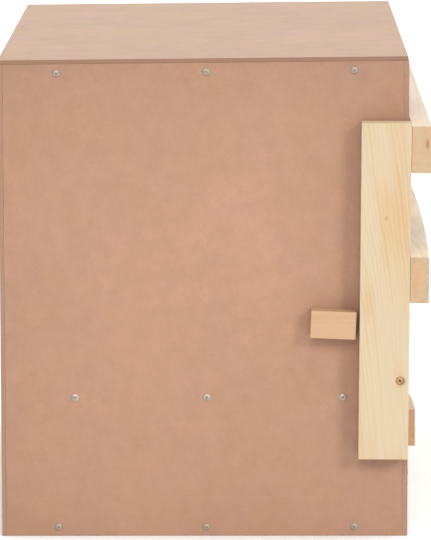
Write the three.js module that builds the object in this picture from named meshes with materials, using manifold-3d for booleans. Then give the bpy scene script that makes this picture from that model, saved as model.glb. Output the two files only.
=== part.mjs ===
// Two-compartment laying nest for hens, with a folding perch frame and a pull-out drawer under the nest floor.
// Units are millimetres. +Z is up, -Y is the front (where the hens enter), +X is to the right seen from the front.
// The origin is at the middle of the base. Depth is measured from the outside of the back panel towards the front (f).
import * as THREE from 'three';
import { mergeVertices } from 'three/addons/utils/BufferGeometryUtils.js';
import Module from 'manifold-3d';

const wasm = await Module();
wasm.setup();

// ---------------------------------------------------------------- driving dimensions
const BOX_W = 586;            // outside width over the side panels
const BOX_D = 379;            // outside depth, back panel to front panel
const Z_FRONT = 450;          // height of the roof at the front
const Z_BACK = 446.6;         // height of the roof at the back
const Y_BACK = 200.9;         // outside face of the back panel
const T_SIDE = 4;             // side, back, floor and divider boards
const T_BACK = 4;
const T_FRONT = 5;            // front board
const T_TOP = 4;              // roof board
const T_FLOOR = 4;
const T_DIVIDER = 4;
const TOP_OVER_BACK = 0.7;    // the roof stands this far over the back panel
const TOP_SHORT_FRONT = 1.0;  // and stops this far behind the front face
const FIT = 0.3;              // gap round screws and between cut pieces
const TOUCH = 0.1;            // gap at slanted or cut faces that meet

const STICK = 20;             // pine strips inside are 20 x 20
const Z_FLOOR = 141;          // underside of the nest floor
const Z_BASE = 16;            // height of the strips under the bottom board
const Z_DRAWER_GAP = 115.5;   // top of the drawer mouth in the front board

const ENTRY_W = 210;          // each arched entrance
const ENTRY_Z0 = 188;
const ENTRY_Z1 = 420;
const ENTRY_X = 145.75;
const MOUTH_W = 536;          // drawer mouth

const PIVOT_F = 370.8;        // perch pivot, from the back
const PIVOT_Z = 150;
const TILT_DEG = 0.45;        // the closed perch frame leans forward this much
const ARM_X0 = 295;           // inside face of an arm
const ARM_T = 20;
const ARM_FRONT = 8.2;        // arm front edge ahead of the pivot
const ARM_REAR = 37.8;        // arm rear edge behind the pivot
const ARM_UP = 240.4;           // arm above the pivot
const ARM_DOWN = 73.6;        // arm below the pivot
const SLAT_L = 630;
const SLAT_GAP = 0.3;
const SLATS = [
  { name: 'perch_slat_upper', z0: 194.2, h: 43.4, t: 18.2, bow: 0 },
  { name: 'perch_slat_lower', z0: 73.3, h: 42.8, t: 17.2, bow: 4.1 },
];
const WASHER_R = 7;
const WASHER_T = 1.4;

const BLOCK = { len: 42.0, h: 25.7, t: 19, f: 309.1, z: 202.25, turn: 2.6 };

const PAN = { headR: 3.4, headH: 1.05, shankR: 1.75, shank: 15 };      // panel screws, low heads that the perch arm passes over
const PIVOT_SCREW = { headR: 3.1, headH: 2.2, shankR: 2.5, shank: 36.5, sunk: 4.6, boreR: 3.6, mouthR: 5.2, mouth: 1.9 };   // in a stepped hole with a countersunk mouth
const CSK = { headR: 3.8, headH: 2.4, shankR: 1.75, shank: 34 };     // slat screws, flush heads
const HANDLE_SCREW = { headR: 3.8, headH: 2.2, shankR: 1.75, shank: 20 };

const DRAWER = { z0: 20.4, z1: 112, back: 10, w: 531, side: 10, frontT: 8, frontW: 533, frontZ0: 2.5, frontZ1: 114.3, bottomT: 3 };
const HANDLE = { w: 92, z0: 38.7, z1: 75.2, proud: 16.4, slant: 0.018, fall: 1.2, fallFrom: 6, near: 1.2 };   // the front face is sawn a little askew and falls off at one end

// screw places on a side panel: distance from the back, and height
const ROW_TOP = [[53.3, 434.5], [191.7, 435.9], [328.3, 437.2]];
const ROW_MID = [[69.0, 131.2], [191.7, 131.2], [318.3, 131.2]];
const ROW_LOW = [[53.1, 8.4], [191.1, 8.2], [329.1, 8.6]];

// ---------------------------------------------------------------- finishes
const FINISH = {
  board: { color: 0xcea286, roughness: 0.62, metalness: 0 },
  boardTop: { color: 0xd9bba6, roughness: 0.5, metalness: 0 },
  pine: { color: 0xecd4b0, roughness: 0.55, metalness: 0 },
  pineDark: { color: 0xe3bc95, roughness: 0.6, metalness: 0 },
  zinc: { color: 0xb4b2ab, roughness: 0.35, metalness: 1 },
  brass: { color: 0xa98554, roughness: 0.45, metalness: 1 },
};
const finish = (k) => new THREE.MeshStandardMaterial(FINISH[k]);

// ---------------------------------------------------------------- helpers
const y = (f) => Y_BACK - f;                                     // depth from the back to the row's Y
const zTop = (f) => Z_BACK + ((Z_FRONT - Z_BACK) * f) / BOX_D;    // roof surface
const zUnder = (f) => zTop(f) - T_TOP;                            // roof underside
const ringOf = (u, v, r, n = 12) =>
  Array.from({ length: n }, (_, i) => {
    const a = (2 * Math.PI * (i + 0.5)) / n;
    const R = r / Math.cos(Math.PI / n);
    return new THREE.Vector2(u + R * Math.cos(a), v + R * Math.sin(a));
  });

function closed(geometry) {
  const g = geometry.clone();
  for (const k of Object.keys(g.attributes)) if (k !== 'position') g.deleteAttribute(k);
  const m = mergeVertices(g, 1e-5);
  const p = m.getAttribute('position');
  const src = m.getIndex().array;
  const idx = [];
  for (let i = 0; i < src.length; i += 3) {
    const [a, b, c] = [src[i], src[i + 1], src[i + 2]];
    if (a !== b && b !== c && c !== a) idx.push(a, b, c);
  }
  let vol = 0;
  const A = new THREE.Vector3(), B = new THREE.Vector3(), C = new THREE.Vector3();
  for (let i = 0; i < idx.length; i += 3) {
    A.fromBufferAttribute(p, idx[i]); B.fromBufferAttribute(p, idx[i + 1]); C.fromBufferAttribute(p, idx[i + 2]);
    vol += A.dot(B.cross(C));
  }
  if (vol < 0) for (let i = 0; i < idx.length; i += 3) [idx[i], idx[i + 1]] = [idx[i + 1], idx[i]];
  const out = new THREE.BufferGeometry();
  out.setAttribute('position', new THREE.BufferAttribute(Float32Array.from(p.array), 3));
  out.setIndex(idx);
  out.computeVertexNormals();
  return out;
}
function solid(geometry) {
  const g = closed(geometry);
  return new wasm.Manifold(new wasm.Mesh({
    numProp: 3,
    vertProperties: Float32Array.from(g.getAttribute('position').array),
    triVerts: Uint32Array.from(g.getIndex().array),
  }));
}
function cut(geometry, ...tools) {
  let s = solid(geometry);
  for (const t of tools) s = s.subtract(solid(t));
  const m = s.getMesh();
  const out = new THREE.BufferGeometry();
  out.setAttribute('position', new THREE.BufferAttribute(Float32Array.from(m.vertProperties), 3));
  out.setIndex(Array.from(m.triVerts));
  return closed(out);
}
// a block between two corners, as geometry
function slab(x0, x1, y0, y1, z0, z1) {
  const g = new THREE.BoxGeometry(Math.abs(x1 - x0), Math.abs(y1 - y0), Math.abs(z1 - z0));
  g.translate((x0 + x1) / 2, (y0 + y1) / 2, (z0 + z1) / 2);
  return g;
}
const toYZ = new THREE.Matrix4().set(0, 0, 1, 0, 1, 0, 0, 0, 0, 1, 0, 0, 0, 0, 0, 1);   // shape (y, z), depth along +X
const toXZ = new THREE.Matrix4().set(1, 0, 0, 0, 0, 0, -1, 0, 0, 1, 0, 0, 0, 0, 0, 1);  // shape (x, z), depth along -Y
function plate(points, holes, depth, to, offset, extra = {}) {
  const s = new THREE.Shape(points);
  for (const h of holes) s.holes.push(new THREE.Path(h));
  const g = new THREE.ExtrudeGeometry(s, { depth, bevelEnabled: false, ...extra });
  if (to) g.applyMatrix4(to);
  g.translate(...offset);
  return g;
}
// a turned solid about +Y, from radius/height pairs that start and end on the axis
const turned = (pairs, n = 12) => new THREE.LatheGeometry(pairs.map(([r, h]) => new THREE.Vector2(r, h)), n);
function aimed(geometry, at, dir) {
  const g = geometry.clone();
  g.applyQuaternion(new THREE.Quaternion().setFromUnitVectors(new THREE.Vector3(0, 1, 0), new THREE.Vector3(...dir)));
  g.translate(...at);
  return g;
}
const bore = (r, from, to, n = 12) => {
  const R = r / Math.cos(Math.PI / n);
  return turned([[0, from], [R, from], [R, to], [0, to]], n);
};

const nest = new THREE.Group();
nest.name = 'laying_nest';
function add(name, geometry, kind, parent = nest, position = [0, 0, 0]) {
  const m = new THREE.Mesh(closed(geometry), finish(kind));
  m.name = name;
  m.position.set(...position);
  parent.add(m);
  return m;
}
const xOut = BOX_W / 2;
const xIn = xOut - T_SIDE;
const sides = [['left', -1], ['right', 1]];

// ---------------------------------------------------------------- screw bodies
// pan-head screw: the head sits on the surface at height 0, the shank runs to -shank and ends in a point
const panScrew = (d) => turned([
  [0, -d.shank], [d.shankR * 0.35, -d.shank + 1.2], [d.shankR, -d.shank + 3.6], [d.shankR, TOUCH],
  [d.headR, TOUCH], [d.headR, TOUCH + d.headH * 0.35], [d.headR * 0.72, TOUCH + d.headH * 0.82], [d.headR * 0.3, TOUCH + d.headH], [0, TOUCH + d.headH],
]);
// countersunk screw: the flat of the head is at height 0
const cskScrew = (d) => turned([
  [0, -d.shank], [d.shankR * 0.35, -d.shank + 1.2], [d.shankR, -d.shank + 3.6], [d.shankR, -d.headH],
  [d.headR, -0.35], [d.headR, 0], [0, 0],
]);
const cskBore = (d) => turned([
  [0, -d.shank - 0.6], [d.shankR + FIT + 0.1, -d.shank - 0.6], [d.shankR + FIT + 0.1, -d.headH - 0.1],
  [d.headR + FIT + 0.15, -0.3], [d.headR + FIT + 0.15, 2], [0, 2],
]);

// ---------------------------------------------------------------- side panels, strips and their screws
for (const [side, s] of sides) {
  const x0 = s < 0 ? -xOut : xIn;
  const holes = [...ROW_TOP, ...ROW_MID, ...ROW_LOW].map(([f, z]) => ringOf(y(f), z, PAN.shankR + FIT));
  holes.push(ringOf(y(PIVOT_F), PIVOT_Z, PIVOT_SCREW.shankR + FIT));
  const outline = [
    [y(T_BACK), 0], [y(BOX_D - T_FRONT), 0],
    [y(BOX_D - T_FRONT), zUnder(BOX_D - T_FRONT) - TOUCH], [y(T_BACK), zUnder(T_BACK) - TOUCH],
  ].map(([a, b]) => new THREE.Vector2(a, b));
  add(`side_panel_${side}`, plate(outline, holes, T_SIDE, toYZ, [x0, 0, 0]), 'board');

  // strips along the depth, with blind holes for the screws
  const sx0 = s < 0 ? -xIn : xIn - STICK;
  const stop = BOX_D - T_FRONT - STICK - FIT;
  const screwCut = ([f, z]) => aimed(bore(PAN.shankR + FIT, -(PAN.shank - T_SIDE) - 0.8, 2), [s * xIn, y(f), z], [s, 0, 0]);
  const lean = [
    [y(T_BACK + TOUCH), zUnder(T_BACK) - STICK], [y(stop), zUnder(stop) - STICK],
    [y(stop), zUnder(stop) - TOUCH], [y(T_BACK + TOUCH), zUnder(T_BACK) - TOUCH],
  ].map(([a, b]) => new THREE.Vector2(a, b));
  add(`top_cleat_${side}`, cut(plate(lean, [], STICK - TOUCH, toYZ, [s < 0 ? sx0 + TOUCH : sx0, 0, 0]), ...ROW_TOP.map(screwCut)), 'pineDark');
  const stick = (z0, z1) => slab(s * (xIn - STICK), s * (xIn - TOUCH), y(T_BACK + TOUCH), y(stop), z0, z1);
  add(`floor_cleat_${side}`, cut(stick(Z_FLOOR - STICK, Z_FLOOR), ...ROW_MID.map(screwCut)), 'pineDark');
  add(`bottom_cleat_${side}`, cut(stick(0, Z_BASE), ...ROW_LOW.map(screwCut)), 'pineDark');

  // post behind the front board: it also takes the pivot screw
  const post = slab(s * (xIn - STICK), s * (xIn - TOUCH), y(BOX_D - T_FRONT - STICK), y(BOX_D - T_FRONT - TOUCH), 0, zUnder(BOX_D - T_FRONT - STICK) - TOUCH);
  add(`front_post_${side}`, cut(post, aimed(bore(PIVOT_SCREW.shankR + FIT, -16, 2), [s * xIn, y(PIVOT_F), PIVOT_Z], [s, 0, 0])), 'pineDark');

  // runner that keeps the drawer straight
  add(`drawer_guide_${side}`, slab(s * 268, s * 278, y(12), y(350), Z_BASE + T_FLOOR, Z_BASE + T_FLOOR + 10), 'pineDark');

  // stop block for the perch arm, a little out of level
  const block = new THREE.Mesh(closed(new THREE.BoxGeometry(BLOCK.t, BLOCK.len, BLOCK.h)), finish('pine'));
  block.name = `stop_block_${side}`;
  block.position.set(s * (xOut + TOUCH + BLOCK.t / 2), y(BLOCK.f), BLOCK.z);
  block.rotation.x = THREE.MathUtils.degToRad(BLOCK.turn);
  nest.add(block);

  [...ROW_TOP, ...ROW_MID, ...ROW_LOW].forEach(([f, z], i) => {
    const m = add(`side_screw_${side}_${i + 1}`, panScrew(PAN), 'zinc', nest, [s * xOut, y(f), z]);
    m.rotation.z = -s * Math.PI / 2;
  });
  const pin = add(`pivot_screw_${side}`, panScrew(PIVOT_SCREW), 'brass', nest, [s * (ARM_X0 + ARM_T - PIVOT_SCREW.sunk), y(PIVOT_F), PIVOT_Z]);
  pin.rotation.z = -s * Math.PI / 2;
  const washer = turned([
    [PIVOT_SCREW.shankR + FIT, 0], [WASHER_R, 0], [WASHER_R, WASHER_T], [PIVOT_SCREW.shankR + FIT, WASHER_T], [PIVOT_SCREW.shankR + FIT, 0],
  ], 16);
  const w = add(`pivot_washer_${side}`, washer, 'zinc', nest, [s * (xOut + FIT), y(PIVOT_F), PIVOT_Z]);
  w.rotation.z = -s * Math.PI / 2;
}

// ---------------------------------------------------------------- back, front and roof boards
add('back_panel', plate([
  [-xOut, 0], [xOut, 0], [xOut, zUnder(0) - TOUCH], [-xOut, zUnder(0) - TOUCH],
].map(([a, b]) => new THREE.Vector2(a, b)), [], T_BACK - TOUCH, toXZ, [0, y(0), 0]), 'board');

{
  const entry = (cx) => {
    const pts = [[cx - ENTRY_W / 2, ENTRY_Z0], [cx + ENTRY_W / 2, ENTRY_Z0]];
    const r = ENTRY_W / 2;
    for (let i = 0; i <= 16; i++) {
      const a = (Math.PI * i) / 16;
      pts.push([cx + r * Math.cos(a), ENTRY_Z1 - r + r * Math.sin(a)]);
    }
    return pts.map(([a, b]) => new THREE.Vector2(a, b));
  };
  const zT = zUnder(BOX_D - T_FRONT) - TOUCH;
  const outline = [
    [-xOut, 0], [-MOUTH_W / 2, 0], [-MOUTH_W / 2, Z_DRAWER_GAP], [MOUTH_W / 2, Z_DRAWER_GAP], [MOUTH_W / 2, 0], [xOut, 0],
    [xOut, zT], [-xOut, zT],
  ].map(([a, b]) => new THREE.Vector2(a, b));
  const doorway = (cx) => plate(entry(cx), [], T_FRONT + 4, toXZ, [0, y(BOX_D - T_FRONT) + 2, 0]);
  add('front_panel', cut(plate(outline, [], T_FRONT, toXZ, [0, y(BOX_D - T_FRONT), 0]), doorway(-ENTRY_X), doorway(ENTRY_X)), 'board');
}

add('top_panel', plate([
  [y(-TOP_OVER_BACK), zUnder(-TOP_OVER_BACK)], [y(BOX_D - TOP_SHORT_FRONT), zUnder(BOX_D - TOP_SHORT_FRONT)],
  [y(BOX_D - TOP_SHORT_FRONT), zTop(BOX_D - TOP_SHORT_FRONT)], [y(-TOP_OVER_BACK), zTop(-TOP_OVER_BACK)],
].map(([a, b]) => new THREE.Vector2(a, b)), [], BOX_W, toYZ, [-xOut, 0, 0]), 'boardTop');

// ---------------------------------------------------------------- floors, divider and rails
{
  const notched = (fEnd) => [
    [-xIn + TOUCH, y(T_BACK + TOUCH)], [-xIn + TOUCH, y(BOX_D - T_FRONT - STICK - FIT)],
    [-(xIn - STICK - FIT), y(BOX_D - T_FRONT - STICK - FIT)], [-(xIn - STICK - FIT), y(fEnd)],
    [xIn - STICK - FIT, y(fEnd)], [xIn - STICK - FIT, y(BOX_D - T_FRONT - STICK - FIT)],
    [xIn - TOUCH, y(BOX_D - T_FRONT - STICK - FIT)], [xIn - TOUCH, y(T_BACK + TOUCH)],
  ].map(([a, b]) => new THREE.Vector2(a, b));
  add('nest_floor', plate(notched(BOX_D - T_FRONT - TOUCH), [], T_FLOOR, null, [0, 0, Z_FLOOR]), 'board');
  add('bottom_panel', plate(notched(370.4), [], T_FLOOR, null, [0, 0, Z_BASE]), 'board');
}
add('centre_divider', plate([
  [y(T_BACK + TOUCH), Z_FLOOR + T_FLOOR], [y(BOX_D - T_FRONT - TOUCH), Z_FLOOR + T_FLOOR],
  [y(BOX_D - T_FRONT - TOUCH), zUnder(BOX_D - T_FRONT) - FIT], [y(T_BACK + TOUCH), zUnder(T_BACK) - FIT],
].map(([a, b]) => new THREE.Vector2(a, b)), [], T_DIVIDER, toYZ, [-T_DIVIDER / 2, 0, 0]), 'board');
add('floor_rail', slab(-(xIn - STICK - FIT), xIn - STICK - FIT, y(BOX_D - T_FRONT - STICK), y(BOX_D - T_FRONT - TOUCH), Z_FLOOR - STICK, Z_FLOOR), 'pineDark');
add('bottom_rail', slab(-(xIn - STICK - FIT), xIn - STICK - FIT, y(350.4), y(370.4), 0, Z_BASE), 'pineDark');

// ---------------------------------------------------------------- perch frame, turned a little about its pivot
const perch = new THREE.Group();
perch.position.set(0, y(PIVOT_F), PIVOT_Z);
perch.rotation.x = THREE.MathUtils.degToRad(TILT_DEG);
nest.add(perch);
for (const [side, s] of sides) {
  const xo = s * (ARM_X0 + ARM_T);
  const xi = s * ARM_X0;
  const pivotBore = aimed(bore(PIVOT_SCREW.shankR + FIT, -ARM_T - 2, 2, 16), [xo, 0, 0], [s, 0, 0]);
  const P = PIVOT_SCREW, k = 1 / Math.cos(Math.PI / 20), flare = (P.mouthR - P.boreR) / P.mouth;
  const headBore = aimed(turned([
    [0, -P.sunk], [P.boreR * k, -P.sunk], [P.boreR * k, -P.mouth], [(P.mouthR + flare * 2) * k, 2], [0, 2],
  ], 20), [xo, 0, 0], [s, 0, 0]);
  const screwBores = SLATS.map((k) => aimed(cskBore(CSK), [s * (ARM_X0 + ARM_T / 2), -(ARM_FRONT + SLAT_GAP + k.t), k.z0 + k.h / 2], [0, -1, 0]));
  add(`perch_arm_${side}`, cut(slab(xi, xo, -ARM_FRONT, ARM_REAR, -ARM_DOWN, ARM_UP), pivotBore, headBore, ...screwBores), 'pine', perch);
  SLATS.forEach((k, i) => {
    const m = add(`slat_screw_${i ? 'lower' : 'upper'}_${side}`, cskScrew(CSK), 'zinc', perch,
      [s * (ARM_X0 + ARM_T / 2), -(ARM_FRONT + SLAT_GAP + k.t) - bowAt(k, s * (ARM_X0 + ARM_T / 2)) + 0.05, k.z0 + k.h / 2]);
    m.quaternion.setFromUnitVectors(new THREE.Vector3(0, 1, 0), new THREE.Vector3(0, -1, 0));
  });
}
// how far a slat is sprung forward at a place along it
function bowAt(k, x) {
  const u = (2 * x) / SLAT_L;
  return k.bow * (1 - u * u);
}
for (const k of SLATS) {
  const n = k.bow ? 14 : 1;
  const rear = -(ARM_FRONT + SLAT_GAP);
  const front = [], back = [];
  for (let i = 0; i <= n; i++) {
    const x = -SLAT_L / 2 + (SLAT_L * i) / n;
    front.push(new THREE.Vector2(x, rear - k.t - bowAt(k, x)));
    back.unshift(new THREE.Vector2(x, rear - bowAt(k, x)));
  }
  const body = plate([...front, ...back], [], k.h, null, [0, 0, k.z0]);
  const bores = sides.map(([, s]) => {
    const x = s * (ARM_X0 + ARM_T / 2);
    return aimed(cskBore(CSK), [x, rear - k.t - bowAt(k, x) + 0.05, k.z0 + k.h / 2], [0, -1, 0]);
  });
  add(k.name, cut(body, ...bores), 'pine', perch);
}

// ---------------------------------------------------------------- drawer
const drawer = new THREE.Group();
nest.add(drawer);
{
  const D = DRAWER, hw = D.w / 2, fIn = BOX_D - D.frontT;
  const screwX = [-28, 28], screwZ = (HANDLE.z0 + HANDLE.z1) / 2;
  const through = (x) => aimed(bore(HANDLE_SCREW.shankR + FIT, -HANDLE_SCREW.shank - 0.8, 2), [x, y(fIn), screwZ], [0, 1, 0]);
  add('drawer_front', cut(slab(-D.frontW / 2, D.frontW / 2, y(fIn), y(BOX_D), D.frontZ0, D.frontZ1), ...screwX.map(through)), 'board', drawer);
  add('drawer_bottom', slab(-hw, hw, y(D.back), y(fIn - TOUCH), D.z0, D.z0 + D.bottomT), 'board', drawer);
  for (const [side, s] of sides) {
    add(`drawer_side_${side}`, slab(s * (hw - D.side), s * hw, y(D.back), y(fIn - TOUCH), D.z0 + D.bottomT, D.z1), 'pineDark', drawer);
  }
  add('drawer_back', slab(-(hw - D.side), hw - D.side, y(D.back), y(D.back + D.side), D.z0 + D.bottomT, D.z1), 'pineDark', drawer);

  // grip: a sawn block, its front face a little out of parallel and worn round at the far end
  const H = HANDLE, hx = H.w / 2, yB = y(BOX_D) - TOUCH;
  const proudAt = (x) => H.proud - H.slant * (x + hx) - H.fall * Math.max(0, (x - H.fallFrom) / (hx - H.fallFrom)) ** 2;
  const plan = [[-hx, yB], [-hx, yB - H.proud + H.near], [-hx + H.near * 0.3, yB - H.proud + H.near * 0.3], [-hx + H.near, yB - proudAt(-hx + H.near)]];
  for (let i = 0; i <= 7; i++) {
    const x = H.fallFrom + ((hx - 2.4 - H.fallFrom) * i) / 7;
    plan.push([x, yB - proudAt(x)]);
  }
  const tip = proudAt(hx - 2.4);
  plan.push([hx - 0.7, yB - tip + 0.9], [hx, yB - tip + 2.6], [hx, yB]);
  const grip = plate(plan.map(([p, q]) => new THREE.Vector2(p, q)), [], H.z1 - H.z0, null, [0, 0, H.z0]);
  add('drawer_handle', cut(grip, ...screwX.map(through)), 'pineDark', drawer);
  screwX.forEach((x, i) => {
    add(`handle_screw_${i ? 'right' : 'left'}`, panScrew(HANDLE_SCREW), 'zinc', drawer, [x, y(fIn), screwZ]);
  });
}

export default nest;
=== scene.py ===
"""A two-place laying nest for hens: thin brown fibreboard on pine strips, a pine perch frame that folds down, and a drawer.

Metres, in the row frame: +Z up, -Y the front, +X along the width. The photograph looks at the left side, along +X.
"""

import math
import random

import bmesh
import bpy
from mathutils import Matrix, Quaternion, Vector


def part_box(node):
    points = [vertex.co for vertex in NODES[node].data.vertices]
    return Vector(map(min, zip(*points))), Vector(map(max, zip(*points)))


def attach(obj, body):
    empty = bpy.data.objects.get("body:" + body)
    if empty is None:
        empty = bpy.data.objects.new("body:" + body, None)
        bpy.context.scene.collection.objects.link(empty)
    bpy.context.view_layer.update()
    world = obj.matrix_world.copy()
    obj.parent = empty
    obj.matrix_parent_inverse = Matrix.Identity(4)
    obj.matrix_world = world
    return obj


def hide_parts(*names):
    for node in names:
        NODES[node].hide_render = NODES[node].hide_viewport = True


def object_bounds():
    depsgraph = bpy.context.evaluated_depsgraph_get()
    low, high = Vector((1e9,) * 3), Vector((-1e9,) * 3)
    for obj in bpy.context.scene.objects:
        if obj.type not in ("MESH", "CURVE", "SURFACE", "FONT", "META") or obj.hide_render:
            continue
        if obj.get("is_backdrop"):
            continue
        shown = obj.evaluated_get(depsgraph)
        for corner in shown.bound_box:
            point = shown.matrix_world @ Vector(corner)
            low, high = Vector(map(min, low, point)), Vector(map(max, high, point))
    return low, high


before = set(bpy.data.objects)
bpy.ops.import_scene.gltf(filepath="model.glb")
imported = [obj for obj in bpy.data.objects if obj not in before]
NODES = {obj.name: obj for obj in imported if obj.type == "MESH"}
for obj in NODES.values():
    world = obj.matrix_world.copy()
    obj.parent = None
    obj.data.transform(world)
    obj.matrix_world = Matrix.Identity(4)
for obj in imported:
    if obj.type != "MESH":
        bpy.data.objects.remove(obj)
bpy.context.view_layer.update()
MM = 0.001
rng = random.Random(40631)


# ------------------------------------------------------------------ colour and node helpers
def lin(r, g, b):
    """sRGB 0-255 to linear rgba"""
    out = []
    for v in (r, g, b):
        v /= 255.0
        out.append(v / 12.92 if v <= 0.04045 else ((v + 0.055) / 1.055) ** 2.4)
    return (*out, 1.0)


class Graph:
    """A short way to write shader nodes."""

    def __init__(self, name):
        self.mat = bpy.data.materials.new(name)
        self.mat.use_nodes = True
        self.t = self.mat.node_tree
        self.t.nodes.clear()
        self.coord = self.t.nodes.new("ShaderNodeTexCoord")

    def put(self, socket, value):
        if isinstance(value, bpy.types.NodeSocket):
            self.t.links.new(value, socket)
        elif hasattr(value, "__len__"):
            socket.default_value = tuple(value)[:len(socket.default_value)]
        else:
            socket.default_value = value

    def node(self, kind, inputs=None, out=0, **props):
        n = self.t.nodes.new(kind)
        for k, v in props.items():
            setattr(n, k, v)
        for k, v in (inputs or {}).items():
            self.put(n.inputs[k], v)
        return n.outputs[out]

    def m(self, op, a, b=0.0, c=0.0, clamp=False):
        return self.node("ShaderNodeMath", {0: a, 1: b, 2: c}, operation=op, use_clamp=clamp)

    def add(self, a, b): return self.m("ADD", a, b)
    def sub(self, a, b): return self.m("SUBTRACT", a, b)
    def mul(self, a, b): return self.m("MULTIPLY", a, b)
    def div(self, a, b): return self.m("DIVIDE", a, b)

    def fma(self, a, b, c):
        return self.m("MULTIPLY_ADD", a, b, c)

    def vec(self, x, y, z):
        return self.node("ShaderNodeCombineXYZ", {0: x, 1: y, 2: z})

    def v(self, op, a, b=(0, 0, 0), out=0):
        return self.node("ShaderNodeVectorMath", {0: a, 1: b}, out=out, operation=op)

    def dot(self, a, b):
        return self.v("DOT_PRODUCT", a, b, out=1)

    def noise(self, vector, scale=1.0, detail=2.0, rough=0.5, lac=2.0, distortion=0.0, kind="FBM"):
        return self.node("ShaderNodeTexNoise", {"Vector": vector, "Scale": scale, "Detail": detail, "Roughness": rough,
                                                "Lacunarity": lac, "Distortion": distortion}, noise_dimensions="3D", noise_type=kind, normalize=True)

    def white(self, w):
        return self.node("ShaderNodeTexWhiteNoise", {"W": w}, noise_dimensions="1D")

    def voronoi(self, vector, scale=1.0, rnd=1.0, out=0):
        return self.node("ShaderNodeTexVoronoi", {"Vector": vector, "Scale": scale, "Randomness": rnd}, out=out,
                         voronoi_dimensions="3D", feature="F1")

    def step(self, x, a, b):
        """smooth step from 0 at a to 1 at b"""
        return self.node("ShaderNodeMapRange", {"Value": x, "From Min": a, "From Max": b, "To Min": 0.0, "To Max": 1.0},
                         interpolation_type="SMOOTHSTEP", clamp=True)

    def ramp(self, x, a, b, lo, hi):
        return self.node("ShaderNodeMapRange", {"Value": x, "From Min": a, "From Max": b, "To Min": lo, "To Max": hi},
                         interpolation_type="LINEAR", clamp=True)

    def mix(self, f, a, b, blend="MIX"):
        n = self.t.nodes.new("ShaderNodeMix")
        n.data_type, n.blend_type, n.clamp_factor = "RGBA", blend, True
        self.put(n.inputs[0], f)
        self.put(n.inputs[6], a)
        self.put(n.inputs[7], b)
        return n.outputs[2]

    def scale(self, colour, k):
        """a colour or vector times a number"""
        n = self.t.nodes.new("ShaderNodeVectorMath")
        n.operation = "SCALE"
        self.put(n.inputs[0], colour)
        self.put(n.inputs[3], k)
        return n.outputs[0]

    def bump(self, height, strength, distance, normal=None):
        i = {"Height": height, "Strength": strength, "Distance": distance}
        if normal is not None:
            i["Normal"] = normal
        return self.node("ShaderNodeBump", i)

    def close(self, colour, roughness, normal=None, metallic=0.0, ior=1.45, specular=0.5, coat=0.0, coat_rough=0.3):
        b = self.t.nodes.new("ShaderNodeBsdfPrincipled")
        self.put(b.inputs["Base Color"], colour)
        self.put(b.inputs["Roughness"], roughness)
        b.inputs["Metallic"].default_value = metallic
        b.inputs["IOR"].default_value = ior
        b.inputs["Specular IOR Level"].default_value = specular
        b.inputs["Coat Weight"].default_value = coat
        b.inputs["Coat Roughness"].default_value = coat_rough
        if normal is not None:
            self.t.links.new(normal, b.inputs["Normal"])
        o = self.t.nodes.new("ShaderNodeOutputMaterial")
        self.t.links.new(b.outputs[0], o.inputs[0])
        return self.mat


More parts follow.
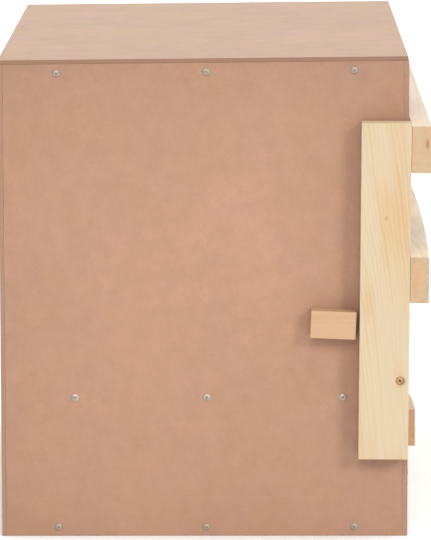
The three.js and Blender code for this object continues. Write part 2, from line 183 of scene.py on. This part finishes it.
# ------------------------------------------------------------------ fibreboard
def fibreboard(name, thick, seed, tone=(1.0, 1.0, 1.0), rough=0.52, specular=0.5, marks=0.0, edge=(0.80, 0.81, 0.83), edge_falloff_shade=None, mottle=1.0,
               grain=1.0, run=(1.0, 1.0, 1.0), hues=((175, 134, 110), (175, 134, 106)), rim=None):
    """Smooth brown fibreboard: soft mottling, fine fibre flecks, plainer cut edges. thick is the axis through the board, run stretches the mottling."""
    g = Graph(name)
    p = g.v("ADD", g.coord.outputs["Object"], (seed * 3.17, seed * 1.31, seed * 2.23))
    pr = g.v("MULTIPLY", p, run)
    cloud = g.noise(p, 9.0, 3.0, 0.55)
    tint = g.noise(g.v("ADD", pr, (7.1, 2.9, 4.4)), 26.0, 4.0, 0.62)
    patch = g.noise(g.v("ADD", pr, (1.7, 6.9, 8.4)), 62.0, 3.0, 0.6)
    mid = g.noise(pr, 150.0, 3.0, 0.66)
    fine = g.noise(p, 640.0, 2.0, 0.6)
    fleck = g.noise(g.v("MULTIPLY", p, (1.0, 1.35, 0.8)), 520.0, 1.0, 0.5)
    pale = g.noise(g.v("ADD", p, (3.3, 9.1, 5.2)), 420.0, 1.0, 0.4)
    base = g.mix(g.step(tint, 0.34, 0.66), lin(*hues[0]), lin(*hues[1]))
    k = g.fma(g.sub(cloud, 0.5), 0.15 * mottle, 1.0)
    k = g.fma(g.sub(patch, 0.5), 0.21 * mottle, k)
    k = g.fma(g.sub(mid, 0.5), 0.18 * min(mottle, 1.0), k)
    k = g.fma(g.sub(fine, 0.5), 0.13 * grain, k)
    k = g.fma(g.step(fleck, 0.6, 0.8), -0.09 * grain, k)
    k = g.fma(g.step(pale, 0.62, 0.82), 0.07 * grain, k)
    if edge_falloff_shade:
        # painted shade of the light falling off towards the board's edges: darker there, (middle, half size) in metres
        q = g.v("DIVIDE", g.v("SUBTRACT", g.coord.outputs["Object"], tuple(edge_falloff_shade[0])), tuple(edge_falloff_shade[1]))
        k = g.mul(k, g.ramp(g.v("LENGTH", q, out=1), 0.25, 1.45, 1.0, 0.87))
    if rim:
        # painted shade under the top board's edge: a little darker along the top, (from, to) height in metres, factor
        # there
        k = g.mul(k, g.ramp(g.dot(g.coord.outputs["Object"], (0, 0, 1)), rim[0], rim[1], 1.0, rim[2]))
    colour = g.scale(base, k)
    colour = g.v("MULTIPLY", colour, tone)
    n = g.dot(g.coord.outputs["Normal"], thick)
    face = g.step(g.m("ABSOLUTE", n), 0.55, 0.9)
    layers = g.noise(g.v("MULTIPLY", p, tuple(1.0 + 5.0 * abs(a) for a in thick)), 330.0, 3.0, 0.7)
    cut = g.scale(g.v("MULTIPLY", base, edge), g.fma(g.sub(layers, 0.5), 0.45, 1.0))
    colour = g.mix(face, cut, colour)
    if marks:
        # a few faint handling marks low on the board
        s = g.noise(g.v("MULTIPLY", p, (1.0, 0.8, 1.6)), 60.0, 2.0, 0.5)
        low = g.step(g.dot(g.coord.outputs["Object"], (0, 0, 1)), 0.10, 0.0)
        colour = g.mix(g.mul(g.mul(g.step(s, 0.64, 0.80), low), marks), colour, lin(132, 110, 92))
    height = g.add(g.mul(fine, 0.6), g.mul(g.noise(p, 1500.0, 1.0), 0.4))
    rough_v = g.fma(g.sub(mid, 0.5), 0.16, rough)
    rough_v = g.m("ADD", rough_v, g.mul(g.sub(1.0, face), 0.22))
    nrm = g.bump(height, 0.35, 0.00012, g.bump(mid, 0.3, 0.0002))
    return g.close(colour, rough_v, nrm, ior=1.46, specular=specular)


# ------------------------------------------------------------------ pine
def pine(name, at, along, across, pith, spacing=3.4, slope=(0.0, 0.0), drift=None, seed=0.0, knots=(), zones=(), end_spots=(),
         early=(209, 190, 158), late=(186, 152, 112), warm=(202, 169, 127), contrast=1.0, warp=7.0, half=23.0, end_gain=(0.90, 0.80, 0.74), warmth=1.0, shade_spots=(),
         specular=0.28, rough=0.56, calm=None, tinge=0.0):
    """Pine cut from a log: growth rings round a pith line, so that faces show lines and ends show faint arcs.

    at is the piece's middle in mm, along its grain axis, across the axis over its wide face. pith is the pith's place over (across, thickness)
    in mm. slope is how far the lines run sideways per mm of length at the two edges; drift is the same as one soft bend, (from, to, mm at one
    edge, mm at the other). knots are (along, across, radius, darkness), zones (along, across, half length, half width, strength, warmer or
    paler), end_spots (across, thickness, their half sizes, strength, colour) on the sawn end at the low side.
    """
    g = Graph(name)
    e = [Vector(along), Vector(across)]
    e.append(e[0].cross(e[1]))
    p = g.v("SUBTRACT", g.scale(g.coord.outputs["Object"], 1000.0), tuple(at))
    L, U, T = (g.dot(p, tuple(a)) for a in e)
    sv = (seed * 13.7, seed * 5.3, seed * 8.9)
    q = g.vec(L, U, T)
    low = g.noise(g.v("ADD", g.v("MULTIPLY", q, (0.0045, 0.018, 0.018)), sv), 1.0, 2.0, 0.5)
    small = g.noise(g.v("ADD", g.v("MULTIPLY", q, (0.02, 0.09, 0.09)), sv), 1.0, 2.0, 0.5)
    u = g.sub(U, g.mul(g.ramp(U, -half, half, slope[0], slope[1]), L))
    if drift:
        u = g.add(u, g.mul(g.ramp(U, -half, half, drift[2], drift[3]), g.step(L, drift[0], drift[1])))
    u = g.fma(g.sub(low, 0.5), warp, u)
    u = g.fma(g.sub(small, 0.5), 2.2, u)
    du, dt = g.sub(u, pith[0]), g.sub(T, pith[1])
    r = g.m("SQRT", g.add(g.mul(du, du), g.mul(dt, dt)))
    core = halo = None
    for (kl, ku, kr, kd) in knots:
        a, b = g.div(g.sub(L, kl), kr * 5.0), g.div(g.sub(U, ku), kr * 2.2)
        bell = g.m("EXPONENT", g.mul(g.add(g.mul(a, a), g.mul(b, b)), -1.0))
        r = g.fma(bell, kr * 1.6, r)
        c, d = g.div(g.sub(L, kl), kr * 1.25), g.div(g.sub(U, ku), kr)
        dist = g.m("SQRT", g.add(g.mul(c, c), g.mul(d, d)))
        dist = g.fma(g.sub(small, 0.5), 0.9, dist)
        spot = g.mul(g.step(dist, 1.2, 0.4), kd)
        glow = g.mul(bell, min(1.0, kd * 1.3))
        core = spot if core is None else g.m("MAXIMUM", core, spot)
        halo = glow if halo is None else g.m("MAXIMUM", halo, glow)
    phase = g.div(r, spacing)
    phase = g.fma(g.sub(g.noise(g.v("ADD", g.v("MULTIPLY", q, (0.008, 0.11, 0.11)), sv), 1.0, 1.0), 0.5), 1.3, phase)
    f, idx = g.m("FRACT", phase), g.m("FLOOR", phase)
    band = g.mul(g.step(f, 0.06, 0.80), g.step(f, 1.0, 0.80))
    strength = g.ramp(g.white(g.add(idx, seed * 7.0)), 0.0, 1.0, 0.2, 1.0)
    fade = g.ramp(g.noise(g.v("ADD", g.v("MULTIPLY", q, (0.010, 0.05, 0.05)), (sv[2], sv[1], sv[0])), 1.0, 2.0), 0.34, 0.66, 0.25, 1.0)
    lateness = g.mul(g.mul(g.mul(band, strength), fade), contrast * 0.52)
    if calm:
        lateness = g.mul(lateness, g.ramp(L, *calm))
    fibre = g.noise(g.v("ADD", g.v("MULTIPLY", q, (0.03, 1.3, 1.3)), sv), 1.0, 3.0, 0.65)
    hair = g.noise(g.v("ADD", g.v("MULTIPLY", q, (0.08, 4.5, 4.5)), sv), 1.0, 2.0, 0.6)
    w1 = g.noise(g.v("ADD", g.v("MULTIPLY", g.vec(L, u, T), (0.012, 0.075, 0.075)), (sv[1], sv[2], sv[0])), 1.0, 2.0, 0.5)
    stripe = g.noise(g.v("ADD", g.v("MULTIPLY", g.vec(L, u, T), (0.006, 0.26, 0.26)), (sv[2], sv[1], sv[0])), 1.0, 2.0, 0.6)
    heat = g.mul(g.step(g.fma(g.sub(stripe, 0.5), 0.5, w1), 0.40, 0.74), 0.55 * warmth)
    for (zl, zu, rl, ru, zs, kind) in zones:
        a, b = g.div(g.sub(L, zl), rl), g.div(g.sub(U, zu), ru)
        bell = g.mul(g.m("EXPONENT", g.mul(g.add(g.mul(a, a), g.mul(b, b)), -1.0)), g.mul(g.ramp(stripe, 0.3, 0.7, 0.35, 1.0), zs))
        if kind > 0:
            heat = g.m("ADD", heat, bell, clamp=True)
        else:
            heat = g.m("SUBTRACT", heat, bell, clamp=True)
    if halo is not None:
        heat = g.m("MAXIMUM", heat, g.mul(halo, g.ramp(stripe, 0.3, 0.7, 0.5, 1.0)))
    body = g.mix(heat, lin(*early), lin(*warm))
    colour = g.mix(lateness, body, lin(*late))
    k = g.fma(g.sub(fibre, 0.5), 0.09, 1.0)
    k = g.fma(g.sub(hair, 0.5), 0.07, k)
    duct = g.step(g.noise(g.v("ADD", g.v("MULTIPLY", q, (0.09, 2.4, 2.4)), (sv[2], sv[0], sv[1])), 1.0, 0.0), 0.78, 0.88)
    k = g.fma(duct, -0.10, k)
    colour = g.scale(colour, k)
    if tinge:
        hue = g.noise(g.v("ADD", g.v("MULTIPLY", g.vec(L, u, T), (0.007, 0.33, 0.33)), (sv[0], sv[2], sv[1])), 1.0, 2.0, 0.6)
        leaf = g.mix(g.step(hue, 0.30, 0.70), (1.0 - 0.5 * tinge, 1.0 + 0.3 * tinge, 1.0 + 1.2 * tinge, 1.0), (1.0 + 0.6 * tinge, 1.0 - 0.5 * tinge, 1.0 - 1.6 * tinge, 1.0))
        colour = g.v("MULTIPLY", colour, leaf)
    if core is not None:
        ring = g.noise(g.v("MULTIPLY", q, (0.5, 0.6, 0.6)), 1.0, 2.0)
        colour = g.mix(core, colour, g.scale(lin(168, 112, 64), g.fma(g.sub(ring, 0.5), 0.7, 1.0)))
    # painted shade: soft darker spots on the face, here a ring round the pivot hole that softens the edge of its recess
    for (sl, su, sr, ss, sc) in shade_spots:
        a, b = g.div(g.sub(L, sl), sr), g.div(g.sub(U, su), sr)
        bell = g.m("EXPONENT", g.mul(g.add(g.mul(a, a), g.mul(b, b)), -1.0))
        colour = g.mix(g.mul(bell, ss), colour, lin(*sc))
    # sawn ends: a little darker, with open fibre and faint rings
    n = g.dot(g.coord.outputs["Normal"], tuple(e[0]))
    end = g.step(g.m("ABSOLUTE", n), 0.55, 0.9)
    speck = g.noise(g.v("ADD", g.v("MULTIPLY", q, (0.4, 1.7, 1.7)), sv), 1.0, 3.0, 0.7)
    blot = g.noise(g.v("ADD", g.v("MULTIPLY", q, (0.05, 0.16, 0.16)), (sv[1], sv[0], sv[2])), 1.0, 3.0, 0.6)
    sawn = g.mix(g.mul(g.mul(band, strength), 0.20 * contrast), lin(*early), lin(*late))
    sawn = g.mix(g.mul(g.step(blot, 0.4, 0.75), 0.6), sawn, lin(*warm))
    sawn = g.v("MULTIPLY", g.scale(sawn, g.fma(g.sub(speck, 0.5), 0.22, 1.0)), end_gain)
    for (su, st, ru, rt, ss, sc) in end_spots:
        a, b = g.div(g.sub(U, su), ru), g.div(g.sub(T, st), rt)
        dist = g.fma(g.sub(blot, 0.5), 1.2, g.m("SQRT", g.add(g.mul(a, a), g.mul(b, b))))
        spot = g.mul(g.mul(g.step(dist, 1.5, 0.3), ss), g.m("LESS_THAN", n, 0.0))
        sawn = g.mix(spot, sawn, lin(*sc))
    colour = g.mix(end, colour, sawn)
    rough = g.fma(g.sub(fibre, 0.5), 0.2, rough)
    rough = g.m("ADD", rough, g.mul(end, 0.2))
    height = g.add(g.add(g.mul(fibre, 0.5), g.mul(hair, 0.3)), g.add(g.mul(lateness, 0.3), g.mul(g.mul(speck, end), 0.9)))
    return g.close(colour, rough, g.bump(height, 0.55, 0.00022), ior=1.45, specular=specular)


# ------------------------------------------------------------------ screws
def metal(name, dark, bright, rough=0.34, seed=0.0):
    g = Graph(name)
    p = g.v("ADD", g.coord.outputs["Object"], (seed, seed * 0.7, seed * 1.9))
    cloud = g.noise(p, 420.0, 3.0, 0.6)
    grit = g.noise(p, 2600.0, 2.0, 0.6)
    colour = g.mix(g.step(cloud, 0.3, 0.7), lin(*dark), lin(*bright))
    colour = g.scale(colour, g.fma(g.sub(grit, 0.5), 0.25, 1.0))
    return g.close(colour, g.fma(g.sub(cloud, 0.5), 0.3, rough), g.bump(grit, 0.25, 0.00004), metallic=1.0, ior=2.4)


def lathe(bm, profile, seg):
    """a closed turned body about +Z from (radius, height) pairs that start and end on the axis"""
    rows = []
    for r, z in profile:
        if r < 1e-9:
            rows.append([bm.verts.new((0, 0, z))])
        else:
            rows.append([bm.verts.new((r * math.cos(2 * math.pi * i / seg), r * math.sin(2 * math.pi * i / seg), z)) for i in range(seg)])
    for a, b in zip(rows, rows[1:]):
        for i in range(seg):
            j = (i + 1) % seg
            if len(a) == 1:
                bm.faces.new((a[0], b[j], b[i]))
            elif len(b) == 1:
                bm.faces.new((a[i], a[j], b[0]))
            else:
                bm.faces.new((a[i], a[j], b[j], b[i]))
    bmesh.ops.recalc_face_normals(bm, faces=bm.faces)


def mesh_from(bm, name, angle=35.0):
    me = bpy.data.meshes.new(name)
    bm.to_mesh(me)
    bm.free()
    me.polygons.foreach_set("use_smooth", [True] * len(me.polygons))
    me.set_sharp_from_angle(angle=math.radians(angle))
    me.update()
    return me


def cross_cutter(arm, width, depth, top):
    """a tapered plus-shaped solid, point down"""
    bm = bmesh.new()
    loops = []
    for z, k in ((top, 1.0), (-depth * 0.45, 0.72), (-depth, 0.30)):
        a, w = arm * k, width * (0.55 + 0.45 * k)
        a = max(a, w * 1.02)
        pts = [(a, -w), (a, w), (w, w), (w, a), (-w, a), (-w, w), (-a, w), (-a, -w), (-w, -w), (-w, -a), (w, -a), (w, -w)]
        loops.append([bm.verts.new((x, y, z)) for x, y in pts])
    for a, b in zip(loops, loops[1:]):
        for i in range(12):
            j = (i + 1) % 12
            bm.faces.new((a[i], a[j], b[j], b[i]))
    bm.faces.new(loops[0])
    bm.faces.new(loops[-1])
    bmesh.ops.recalc_face_normals(bm, faces=bm.faces)
    return mesh_from(bm, "cutter")


def screw_mesh(name, head, shank_r, shank, neck, recess, seg=40):
    """head: (radius, height) pairs of the head's outside from its rim to the top. neck: where the shank meets the head."""
    prof = [(0.0, -shank)]
    core = shank_r * 0.74
    prof += [(shank_r * 0.25, -shank + 0.7), (core * 0.8, -shank + 2.4)]
    z = -shank + 3.0
    stop = neck - 2.2
    pitch = 1.5
    while z + pitch < stop:
        prof += [(core, z), (shank_r, z + pitch * 0.45), (shank_r, z + pitch * 0.6), (core, z + pitch * 0.95)]
        z += pitch
    prof += [(shank_r * 0.9, stop + 0.3), (shank_r * 0.9, neck)]
    prof += list(head)
    if prof[-1][0] > 0:
        prof.append((0.0, head[-1][1]))
    bm = bmesh.new()
    lathe(bm, [(r * MM, z * MM) for r, z in prof], seg)
    me = mesh_from(bm, name + "_blank")
    a = bpy.data.objects.new("blank", me)
    cut = cross_cutter(recess[0] * MM, recess[1] * MM, recess[2] * MM, (head[-1][1] + 1.0) * MM)
    b = bpy.data.objects.new("cutter", cut)
    for o in (a, b):
        bpy.context.scene.collection.objects.link(o)
    mod = a.modifiers.new("cut", "BOOLEAN")
    mod.operation, mod.object, mod.solver = "DIFFERENCE", b, "EXACT"
    bpy.context.view_layer.update()
    done = bpy.data.meshes.new_from_object(a.evaluated_get(bpy.context.evaluated_depsgraph_get()))
    done.name = name
    for o in (a, b):
        bpy.data.objects.remove(o)
    done.polygons.foreach_set("use_smooth", [True] * len(done.polygons))
    done.set_sharp_from_angle(angle=math.radians(32))
    return done


def dome(r, rim, h, n=7, z0=0.0):
    """the outside of a domed head, from its rim up to its middle"""
    out = [(r * 0.985, z0), (r, z0 + rim * 0.35), (r, z0 + rim)]
    for i in range(1, n + 1):
        t = i / n
        out.append((r * math.cos(t * math.pi / 2) if t < 1 else 0.0, z0 + rim + (h - rim) * math.sin(t * math.pi / 2)))
    return out


PAN_MESH = screw_mesh("side_screw_body", dome(3.4, 0.30, 1.05, z0=0.1), 1.75, 15.0, 0.1, (1.6, 0.36, 0.75))
DULL_MESH = screw_mesh("side_screw_dull", dome(3.4, 0.30, 1.05, z0=0.1), 1.75, 15.0, 0.1, (1.3, 0.26, 0.12))
GRIP_MESH = screw_mesh("handle_screw_body", dome(3.8, 0.5, 2.2, z0=0.1), 1.75, 20.0, 0.1, (2.0, 0.42, 1.6))
PIVOT_MESH = screw_mesh("pivot_screw_body", dome(3.5, 1.55, 2.2, z0=0.1), 2.5, 36.5, 0.1, (1.9, 0.5, 1.2))
FLUSH_MESH = screw_mesh("slat_screw_body", [(3.7, -0.35), (3.8, -0.12), (3.72, -0.02), (3.5, 0.0), (0.0, 0.0)], 1.75, 34.0, -2.4, (2.1, 0.42, 2.2))
PLAIN_MESH = screw_mesh("panel_screw_body", dome(3.5, 0.25, 0.95, z0=0.0), 1.5, 3.2, 0.0, (1.8, 0.38, 1.7))


def place(mesh, name, at, out, turn, node=None, body="box"):
    """at in mm; out is the direction the head faces"""
    o = bpy.data.objects.new(name, mesh)
    bpy.context.scene.collection.objects.link(o)
    q = Vector(out).to_track_quat("Z", "Y").to_matrix().to_4x4()
    o.matrix_world = Matrix.Translation(Vector(at) * MM) @ q @ Matrix.Rotation(turn, 4, "Z")
    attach(o, body)
    if node:
        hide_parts(node)
    return o


ZINC = metal("zinc", (160, 152, 140), (196, 188, 174), 0.46)
DULL = metal("zinc_dull", (150, 142, 127), (183, 173, 157), 0.55, seed=1.0)
YELLOW = metal("yellow_zinc", (184, 142, 104), (216, 180, 134), 0.6, seed=3.0)
for mesh, mat in ((PAN_MESH, ZINC), (DULL_MESH, DULL), (GRIP_MESH, ZINC), (PIVOT_MESH, YELLOW), (FLUSH_MESH, ZINC), (PLAIN_MESH, ZINC)):
    mesh.materials.clear()
    mesh.materials.append(mat)


def middle(node):
    lo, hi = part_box(node)
    return (lo + hi) / 2 / MM, lo / MM, hi / MM


for side, s in (("left", -1), ("right", 1)):
    for i in range(1, 10):
        node = f"side_screw_{side}_{i}"
        c, lo, hi = middle(node)
        place(PAN_MESH if 4 <= i <= 6 else DULL_MESH, f"screw_{side}_{i}", (s * 293.0, c.y, c.z), (s, 0, 0), rng.uniform(0, math.pi / 2), node)
    c, lo, hi = middle(f"pivot_screw_{side}")
    place(PIVOT_MESH, f"pivot_bolt_{side}", (s * 310.4, c.y, c.z), (s, 0, 0), rng.uniform(0, math.pi / 2), f"pivot_screw_{side}")
    c, lo, hi = middle(f"handle_screw_{side}")
    place(GRIP_MESH, f"grip_screw_{side}", (c.x, hi.y - 2.3, c.z), (0, 1, 0), rng.uniform(0, math.pi / 2), f"handle_screw_{side}", body="drawer")
    tilt = math.radians(0.45)
    for row in ("upper", "lower"):
        node = f"slat_screw_{row}_{side}"
        c, lo, hi = middle(node)
        out = Vector((0, -math.cos(tilt), -math.sin(tilt)))
        head = c + out * 17.0
        place(FLUSH_MESH, f"slat_screw_head_{row}_{side}", head, out, rng.uniform(0, math.pi / 2), node, body="perch_frame")

# screws of the front and back boards, into the posts, the floor rail and the strips' ends
for i, (x, z) in enumerate([(-279, 58), (-279, 250), (-279, 432), (279, 58), (279, 250), (279, 432), (-146, 131), (0, 131), (146, 131)]):
    place(PLAIN_MESH, f"front_board_screw_{i + 1}", (x, -178.1, z), (0, -1, 0), rng.uniform(0, math.pi / 2))
for i, (x, z) in enumerate([(-279, 8), (-279, 131), (-279, 433), (279, 8), (279, 131), (279, 433), (-146, 143), (0, 290), (146, 143)]):
    place(PLAIN_MESH, f"back_board_screw_{i + 1}", (x, 200.55, z), (0, 1, 0), rng.uniform(0, math.pi / 2))

# ------------------------------------------------------------------ finishes on the nodes
X, Y, Z = (1, 0, 0), (0, 1, 0), (0, 0, 1)


def finish_with(node, mat):
    me = NODES[node].data
    me.materials.clear()
    me.materials.append(mat)


for n, (thick, seed, kw) in {
    # the side boards carry painted shade: darker towards their edges as the light falls off, and darker along the top
    # under the top board's edge
    "side_panel_left": (X, 1.0, dict(marks=0.22, rim=(0.390, 0.447, 0.925), edge_falloff_shade=((-0.291, -0.005, 0.25), (1.0, 0.19, 0.225)))),
    "side_panel_right": (X, 2.0, dict(marks=0.22, rim=(0.390, 0.447, 0.925), edge_falloff_shade=((0.291, 0.02, 0.24), (1.0, 0.19, 0.225)))),
    "back_panel": (Y, 3.0, dict(marks=0.22)),
    "front_panel": (Y, 4.0, dict(edge=(0.84, 0.86, 0.88))),
    "top_panel": (Z, 5.0, dict(tone=(0.892, 0.898, 0.787), mottle=1.5, rough=0.5, specular=0.30, edge=(0.665, 0.675, 0.70), grain=0.35, run=(0.5, 0.6, 0.6),
                              hues=((176, 133, 112), (174, 135, 104)))),
    "bottom_panel": (Z, 6.0, {}),
    "nest_floor": (Z, 7.0, {}),
    "centre_divider": (X, 8.0, {}),
    "drawer_front": (Y, 9.0, {}),
    "drawer_bottom": (Z, 10.0, {}),
}.items():
    finish_with(n, fibreboard("board_" + n, thick, seed, **kw))

ARM = dict(along=Z, across=Y, half=23.0, end_gain=(0.98, 0.94, 0.90))
for side, s, seed, pith in (("left", -1, 1.0, (70.0, 26.0)), ("right", 1, 4.0, (-58.0, -20.0))):
    c, lo, hi = middle(f"perch_arm_{side}")
    if s < 0:
        knots = ((69.0, -1.0, 2.0, 0.45),)
        zones = ((62.0, -5.0, 40.0, 8.0, 0.12, 1), (0.0, -17.0, 50.0, 8.0, 0.35, 1), (-8.0, 17.0, 19.0, 6.0, 0.8, 1), (118.0, -12.0, 48.0, 8.0, 0.5, 1),
                 (56.0, 17.0, 52.0, 9.0, 0.9, -1), (-95.0, 4.0, 60.0, 22.0, 0.35, -1), (60.0, -13.0, 75.0, 11.0, 0.22, 1))
    else:
        knots, zones = ((-70.0, 6.0, 3.4, 0.75), (110.0, -12.0, 1.8, 0.5)), ((30.0, 8.0, 60.0, 12.0, 0.5, 1),)
    # painted shade round the pivot hole: a soft darker ring of wood about the recess
    pivot = middle(f"pivot_screw_{side}")[0]
    finish_with(f"perch_arm_{side}", pine(f"pine_arm_{side}", c, pith=pith, spacing=3.9, contrast=1.1, slope=(0.09, 0.12), drift=(138.0, -48.0, 3.0, 14.0), seed=seed, knots=knots, zones=zones,
                                          early=(202, 185, 156), late=(189, 152, 105), shade_spots=((pivot.z - c.z, pivot.y - c.y, 6.5, 0.22, (200, 163, 124)),),
                                          calm=(-120.0, 30.0, 0.42, 1.0), tinge=0.035, **ARM))
for row, seed, pith, bright, gain, knots, spots in (
    ("upper", 2.0, (34.0, 22.0), (213, 198, 175), (0.79, 0.67, 0.555), ((120.0, -6.0, 4.0, 0.7),), ((5.5, 5.2, 4.6, 1.6, 0.8, (146, 104, 68)), (5.0, 4.5, 9.0, 4.5, 0.25, (186, 142, 98)), (0.0, -8.0, 14.0, 3.0, 0.35, (206, 150, 104)))),
    ("lower", 3.0, (-46.0, 30.0), (229, 212, 184), (0.66, 0.57, 0.485), ((60.0, 8.0, 3.6, 0.75),), ((0.0, -5.6, 13.0, 1.9, 0.7, (214, 146, 98)), (8.0, -2.0, 12.0, 5.0, 0.3, (206, 158, 118)))),
):
    c, lo, hi = middle(f"perch_slat_{row}")
    finish_with(f"perch_slat_{row}", pine(f"pine_slat_{row}", c, X, Z, pith=pith, spacing=3.6, slope=(0.01, 0.03), seed=seed, knots=knots, half=21.0,
                                          contrast=0.7, end_spots=spots, early=bright, late=(194, 165, 128), warm=(212, 185, 148),
                                          end_gain=gain, specular=0.45, rough=0.5))
for side, seed in (("left", 5.0), ("right", 6.0)):
    c, lo, hi = middle(f"stop_block_{side}")
    finish_with(f"stop_block_{side}", pine(f"pine_block_{side}", c, Y, Z, pith=(40.0, 18.0), spacing=4.4, seed=seed, half=13.0, contrast=0.55,
                                           early=(195, 161, 128), late=(178, 137, 100), warm=(191, 149, 109), warp=3.0))
STRIP = dict(early=(204, 172, 138), late=(184, 142, 102))
for n, along, across, seed in (
    ("top_cleat_left", Y, Z, 11), ("top_cleat_right", Y, Z, 12), ("floor_cleat_left", Y, Z, 13), ("floor_cleat_right", Y, Z, 14),
    ("bottom_cleat_left", Y, Z, 15), ("bottom_cleat_right", Y, Z, 16), ("front_post_left", Z, Y, 17), ("front_post_right", Z, Y, 18),
    ("drawer_guide_left", Y, X, 19), ("drawer_guide_right", Y, X, 20), ("floor_rail", X, Z, 21), ("bottom_rail", X, Z, 22),
    ("drawer_side_left", Y, Z, 23), ("drawer_side_right", Y, Z, 24), ("drawer_back", X, Z, 25),
):
    c, lo, hi = middle(n)
    finish_with(n, pine("pine_" + n, c, along, across, pith=(rng.uniform(30, 60) * rng.choice((-1, 1)), rng.uniform(12, 40)), spacing=rng.uniform(2.6, 3.8),
                        slope=(0.0, rng.uniform(0.0, 0.03)), seed=float(seed), **STRIP))
c, lo, hi = middle("drawer_handle")
finish_with("drawer_handle", pine("pine_grip", c, X, Z, pith=(30.0, 20.0), spacing=3.0, seed=31.0, early=(207, 188, 161), late=(190, 158, 124), warm=(199, 170, 134), half=18.0, end_gain=(0.94, 0.765, 0.68)))
for side in ("left", "right"):
    finish_with(f"pivot_washer_{side}", ZINC)

# ------------------------------------------------------------------ eased edges
for n, o in NODES.items():
    if o.hide_render:
        continue
    w = o.modifiers.new("weld", "WELD")
    w.merge_threshold = 2e-6
    d = o.modifiers.new("flat", "DECIMATE")
    d.decimate_type, d.angle_limit = "DISSOLVE", math.radians(0.4)
    b = o.modifiers.new("ease", "BEVEL")
    b.width = {"perch": 0.5, "stop_": 0.5, "drawe": 0.6, "pivot": 0.15}.get(n[:5], 0.35) * MM
    if n in ("drawer_front", "drawer_bottom"):
        b.width = 0.35 * MM
    b.limit_method, b.angle_limit, b.segments = "ANGLE", math.radians(38), 3
    b.use_clamp_overlap = True
    o.data.polygons.foreach_set("use_smooth", [True] * len(o.data.polygons))
    wn = o.modifiers.new("even", "WEIGHTED_NORMAL")
    wn.mode, wn.weight, wn.keep_sharp = "FACE_AREA", 100, True

# ------------------------------------------------------------------ floor, light and camera
bm = bmesh.new()
bmesh.ops.create_grid(bm, x_segments=8, y_segments=8, size=16.0)
floor = bpy.data.objects.new("floor", mesh_from(bm, "floor"))
bpy.context.scene.collection.objects.link(floor)
floor.location = (3.0, 0, -0.0002)
g = Graph("floor_white")
n1 = g.noise(g.coord.outputs["Object"], 1.3, 2.0)
floor.data.materials.append(g.close(g.scale((0.968, 0.978, 0.984, 1.0), g.fma(n1, 0.02, 0.985)), 0.85, specular=0.2))
floor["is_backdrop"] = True

# a white studio: a bright backdrop beyond the object, a soft key from the front left, and broad fills
world = bpy.data.worlds.new("studio")
bpy.context.scene.world = world
world.use_nodes = True
wt = world.node_tree
wc = wt.nodes.new("ShaderNodeTexCoord")
ws = wt.nodes.new("ShaderNodeSeparateXYZ")
wr = wt.nodes.new("ShaderNodeMapRange")
wr.interpolation_type = "SMOOTHSTEP"
for i, v in ((1, -0.3), (2, 0.7), (3, 0.385), (4, 0.84)):
    wr.inputs[i].default_value = v
wt.links.new(wc.outputs["Generated"], ws.inputs[0])
wt.links.new(ws.outputs[0], wr.inputs[0])
wt.links.new(wr.outputs[0], wt.nodes["Background"].inputs[1])
wt.nodes["Background"].inputs[0].default_value = (1.0, 1.0, 1.0, 1.0)


def lamp(name, toward, irradiance, angle, colour=(1.0, 1.0, 1.0)):
    d = bpy.data.lights.new(name, "SUN")
    d.energy, d.angle, d.color = irradiance * math.pi, math.radians(angle), colour
    o = bpy.data.objects.new(name, d)
    bpy.context.scene.collection.objects.link(o)
    o.location = Vector(toward) * 4.0
    o.rotation_mode = "QUATERNION"
    o.rotation_quaternion = (-Vector(toward)).to_track_quat("-Z", "Y")


lamp("key", (-1.0, -0.80, 0.60), 0.360, 15.0, (1.0, 0.995, 0.985))
lamp("fill_near", (-1.0, 0.18, 0.60), 0.356, 30.0)
lamp("overhead", (-0.08, -0.55, 1.0), 0.312, 50.0)
lamp("fill_back", (0.25, 1.0, 0.25), 0.35, 60.0)
lamp("fill_far", (1.0, -0.2, 0.25), 0.25, 60.0)
lamp("fill_front", (0.40, -1.0, 0.16), 0.13, 40.0)

cam = bpy.data.objects.new("camera", bpy.data.cameras.new("camera"))
bpy.context.scene.collection.objects.link(cam)
bpy.context.scene.camera = cam
DIST, CY, CZ, PITCH, FOCAL, YAW, ROLL = 4.1005, -0.027627, 0.858548, 0.147046, 4470.376, 0.006941, -0.002001
cam.location = (-0.2930 - DIST, CY, CZ)
aim = Vector((math.cos(PITCH) * math.cos(YAW), math.cos(PITCH) * math.sin(YAW), -math.sin(PITCH)))
cam.rotation_mode = "QUATERNION"
cam.rotation_quaternion = aim.to_track_quat("-Z", "Y") @ Quaternion((0.0, 0.0, 1.0), ROLL)
cam.data.sensor_width, cam.data.sensor_fit = 36.0, "AUTO"
cam.data.lens = FOCAL / 540.0 * 36.0
cam.data.clip_start, cam.data.clip_end = 0.05, 100.0
cam.data.dof.use_dof = False

bpy.context.scene.view_settings.view_transform = "Standard"
bpy.context.scene.view_settings.look = "None"

lo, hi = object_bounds()
